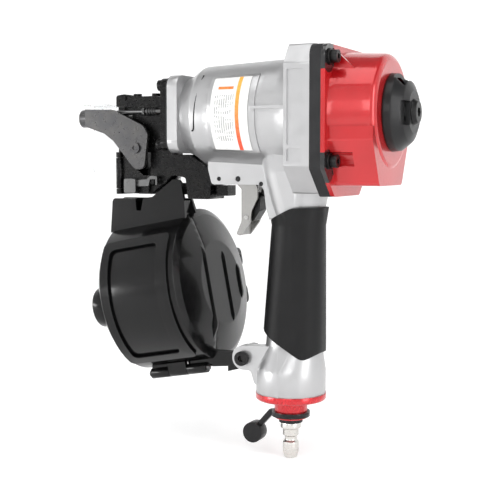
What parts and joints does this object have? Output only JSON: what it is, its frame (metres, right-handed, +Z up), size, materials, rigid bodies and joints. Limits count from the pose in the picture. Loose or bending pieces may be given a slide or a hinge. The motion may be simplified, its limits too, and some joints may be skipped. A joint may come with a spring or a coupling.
{
  "type": "coil nailer",
  "caption": "Pneumatic coil nailer: cast cylinder and handle, long nose with sliding contact foot, round hinged nail drum, swivelling exhaust and an air plug under the handle.",
  "frame": {"origin": "centre of the contact foot's tip, on the driving axis", "axes": "+X runs from the nose back to the exhaust along the driving axis, -Y is the side the magazine opens on, +Z is up, away from the handle"},
  "size_m": [0.268, 0.126, 0.2923],
  "materials": {
    "housing": "satin cast",
    "red_paint": "gloss",
    "label": "printed film",
    "black_steel": "blackened",
    "gunmetal": "ground, oiled",
    "bright_steel": "turned",
    "zinc": "zinc plated",
    "bumper_rubber": "matt",
    "grip_rubber": "matt",
    "black_plastic": "gloss",
    "satin_plastic": "satin",
    "clear_plastic": "clear",
    "nylon": "natural"
  },
  "bodies": {
    "frame": {"main_housing": "housing", "label_plate": "label", "housing_pins": "bright_steel", "cylinder_liner": "bright_steel", "liner_seal": "bumper_rubber", "piston_bumper": "bumper_rubber", "cap_gasket": "bumper_rubber", "cylinder_cap": "red_paint", "cap_bolts": "black_steel", "cap_washers": "zinc", "exhaust_bolt": "black_steel", "nose_gasket": "bumper_rubber", "nose_housing": "black_steel", "driver_guide": "bright_steel", "top_cover": "gunmetal", "top_screws": "bright_steel", "nose_bolts": "black_steel", "arm_guide": "black_steel", "door_hinge_pin": "bright_steel", "feed_cylinder": "housing", "feed_cap": "bright_steel", "feed_spring": "bright_steel", "trigger_pin": "bright_steel", "valve_body": "nylon", "valve_spring": "bright_steel", "grip_sleeve": "grip_rubber", "handle_end_cap": "red_paint", "plug_washer": "bumper_rubber", "air_plug": "zinc", "magazine_shell": "black_plastic", "magazine_hinge_pin": "bright_steel", "nail_post": "bright_steel", "magazine_bolt": "black_steel"},
    "piston": {"drive_piston": "bright_steel", "piston_ring": "bumper_rubber", "driver_blade": "bright_steel"},
    "head_valve": {"head_valve": "nylon", "head_valve_spring": "bright_steel"},
    "exhaust": {"exhaust_deflector": "satin_plastic"},
    "contact": {"contact_foot": "gunmetal", "contact_link": "gunmetal", "contact_screw": "bright_steel", "contact_rod": "bright_steel", "contact_spring": "bright_steel", "debris_guard": "clear_plastic"},
    "door": {"nail_door": "black_steel"},
    "latch": {"door_latch": "bright_steel"},
    "pawl": {"check_pawl": "gunmetal"},
    "feed": {"feed_piston": "bright_steel", "feed_pawl_pin": "bright_steel"},
    "feed_pawl": {"feed_pawl": "gunmetal"},
    "trigger": {"trigger": "zinc", "lever_pin": "bright_steel"},
    "lever": {"safety_lever": "black_steel"},
    "valve": {"valve_stem": "bright_steel"},
    "cover": {"magazine_cover": "black_plastic", "hub_knob": "black_plastic"},
    "platform": {"coil_platform": "satin_plastic"},
    "dust": {"dust_cap": "satin_plastic"}
  },
  "joints": [
    {"name": "piston_slide", "type": "slide", "parent": "frame", "child": "piston", "axis": [-1, 0, 0], "range_m": [0, 0.074]},
    {"name": "head_valve_slide", "type": "slide", "parent": "frame", "child": "head_valve", "axis": [1, 0, 0], "range_m": [0, 0.004], "stiffness_N_per_m": 1500, "springref_m": -0.002},
    {"name": "exhaust_swivel", "type": "hinge", "parent": "frame", "child": "exhaust", "pos_m": [0.25, 0, 0], "axis": [1, 0, 0], "continuous": true},
    {"name": "contact_slide", "type": "slide", "parent": "frame", "child": "contact", "axis": [1, 0, 0], "range_m": [0, 0.01], "stiffness_N_per_m": 600, "springref_m": -0.006},
    {"name": "door_hinge", "type": "hinge", "parent": "frame", "child": "door", "pos_m": [0.0385, -0.0102, 0], "axis": [0, 0, -1], "range_deg": [0, 110]},
    {"name": "latch_hinge", "type": "hinge", "parent": "door", "child": "latch", "pos_m": [0.058, -0.0119, -0.049], "axis": [0, -1, 0], "range_deg": [0, 20], "stiffness_Nm_per_rad": 0.05, "springref_deg": -17.19},
    {"name": "pawl_hinge", "type": "hinge", "parent": "door", "child": "pawl", "pos_m": [0.0479, -0.0056, -0.051], "axis": [-1, 0, 0], "range_deg": [0, 10], "stiffness_Nm_per_rad": 0.05, "springref_deg": -11.46},
    {"name": "feed_slide", "type": "slide", "parent": "frame", "child": "feed", "axis": [0, 0, -1], "range_m": [0, 0.01], "stiffness_N_per_m": 1500, "springref_m": -0.005, "deforming": ["feed_spring"]},
    {"name": "feed_pawl_hinge", "type": "hinge", "parent": "feed", "child": "feed_pawl", "pos_m": [0.062, 0.0147, -0.0212], "axis": [-1, 0, 0], "range_deg": [0, 15], "stiffness_Nm_per_rad": 0.05, "springref_deg": -11.46},
    {"name": "trigger_hinge", "type": "hinge", "parent": "frame", "child": "trigger", "pos_m": [0.1398, 0, -0.0455], "axis": [0, -1, 0], "range_deg": [0, 12], "stiffness_Nm_per_rad": 0.5, "springref_deg": -14.32},
    {"name": "lever_hinge", "type": "hinge", "parent": "trigger", "child": "lever", "pos_m": [0.1442, 0, -0.0732], "axis": [0, -1, 0], "range_deg": [0, 6], "stiffness_Nm_per_rad": 0.1, "springref_deg": -11.46},
    {"name": "valve_slide", "type": "slide", "parent": "frame", "child": "valve", "axis": [0, 0, 1], "range_m": [0, 0.0026], "stiffness_N_per_m": 0.02, "springref_m": 1.2593, "deforming": ["valve_spring"]},
    {"name": "cover_hinge", "type": "hinge", "parent": "frame", "child": "cover", "pos_m": [0.08406, 0, -0.1913], "axis": [0.9823, 0, 0.1874], "range_deg": [0, 100]},
    {"name": "platform_slide", "type": "slide", "parent": "frame", "child": "platform", "axis": [-0.9823, 0, -0.1874], "range_m": [0, 0.02]},
    {"name": "dust_swivel", "type": "hinge", "parent": "frame", "child": "dust", "pos_m": [0.1755, 0, -0.216], "axis": [0, 0, 1], "continuous": true}
  ],
  "couplings": [
    {"joint": "valve_slide", "follows": "trigger_hinge", "m_per_rad": 0.01194}
  ]
}
